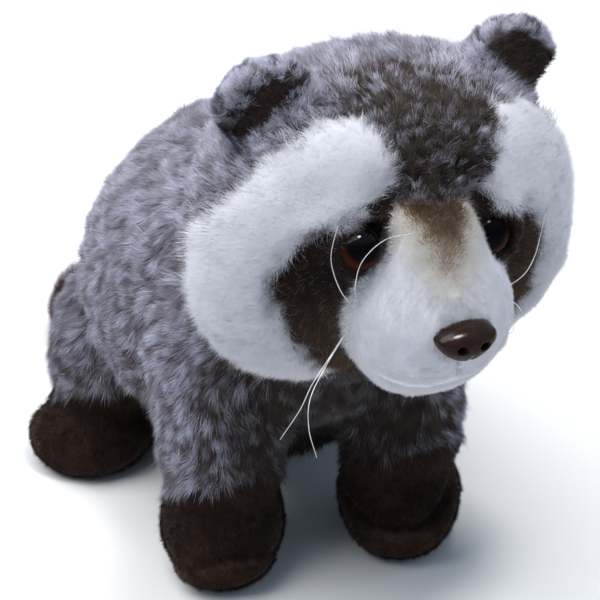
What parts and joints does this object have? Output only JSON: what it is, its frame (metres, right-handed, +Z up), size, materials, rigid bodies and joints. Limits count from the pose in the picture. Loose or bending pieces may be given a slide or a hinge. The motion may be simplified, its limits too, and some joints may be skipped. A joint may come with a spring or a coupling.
{
  "type": "plush toy raccoon",
  "caption": "Seated stuffed plush raccoon with a large masked head, short muzzle, rounded ears, frosted grey pile, dark short-pile paws and a curled tail.",
  "frame": {"origin": "under the middle of the whole toy's bounding box, on the floor it stands on", "axes": "the toy faces -Y, +Z is up, and its own left is +X"},
  "size_m": [0.1526, 0.302, 0.2019],
  "materials": {
    "grey_plush": "long frosted pile, dark at the roots and pale lilac grey at the tips",
    "white_plush": "short dense white pile",
    "brown_plush": "short dark brown pile",
    "eye_plastic": "polished dark amber brown with a black pupil",
    "nose_plastic": "satin gloss dark red-brown"
  },
  "bodies": {
    "root": {"ear_left": "grey_plush", "ear_right": "grey_plush", "eye_left": "eye_plastic", "eye_right": "eye_plastic", "foreleg_left": "grey_plush", "foreleg_right": "grey_plush", "forepaw_left": "brown_plush", "forepaw_right": "brown_plush", "haunch_left": "grey_plush", "haunch_right": "grey_plush", "head": "grey_plush", "hindfoot_left": "brown_plush", "hindfoot_right": "brown_plush", "muzzle": "white_plush", "neck": "grey_plush", "nose": "nose_plastic", "tail_middle": "brown_plush", "tail_root": "brown_plush", "tail_tip": "brown_plush", "trunk": "grey_plush"}
  },
  "joints": []
}
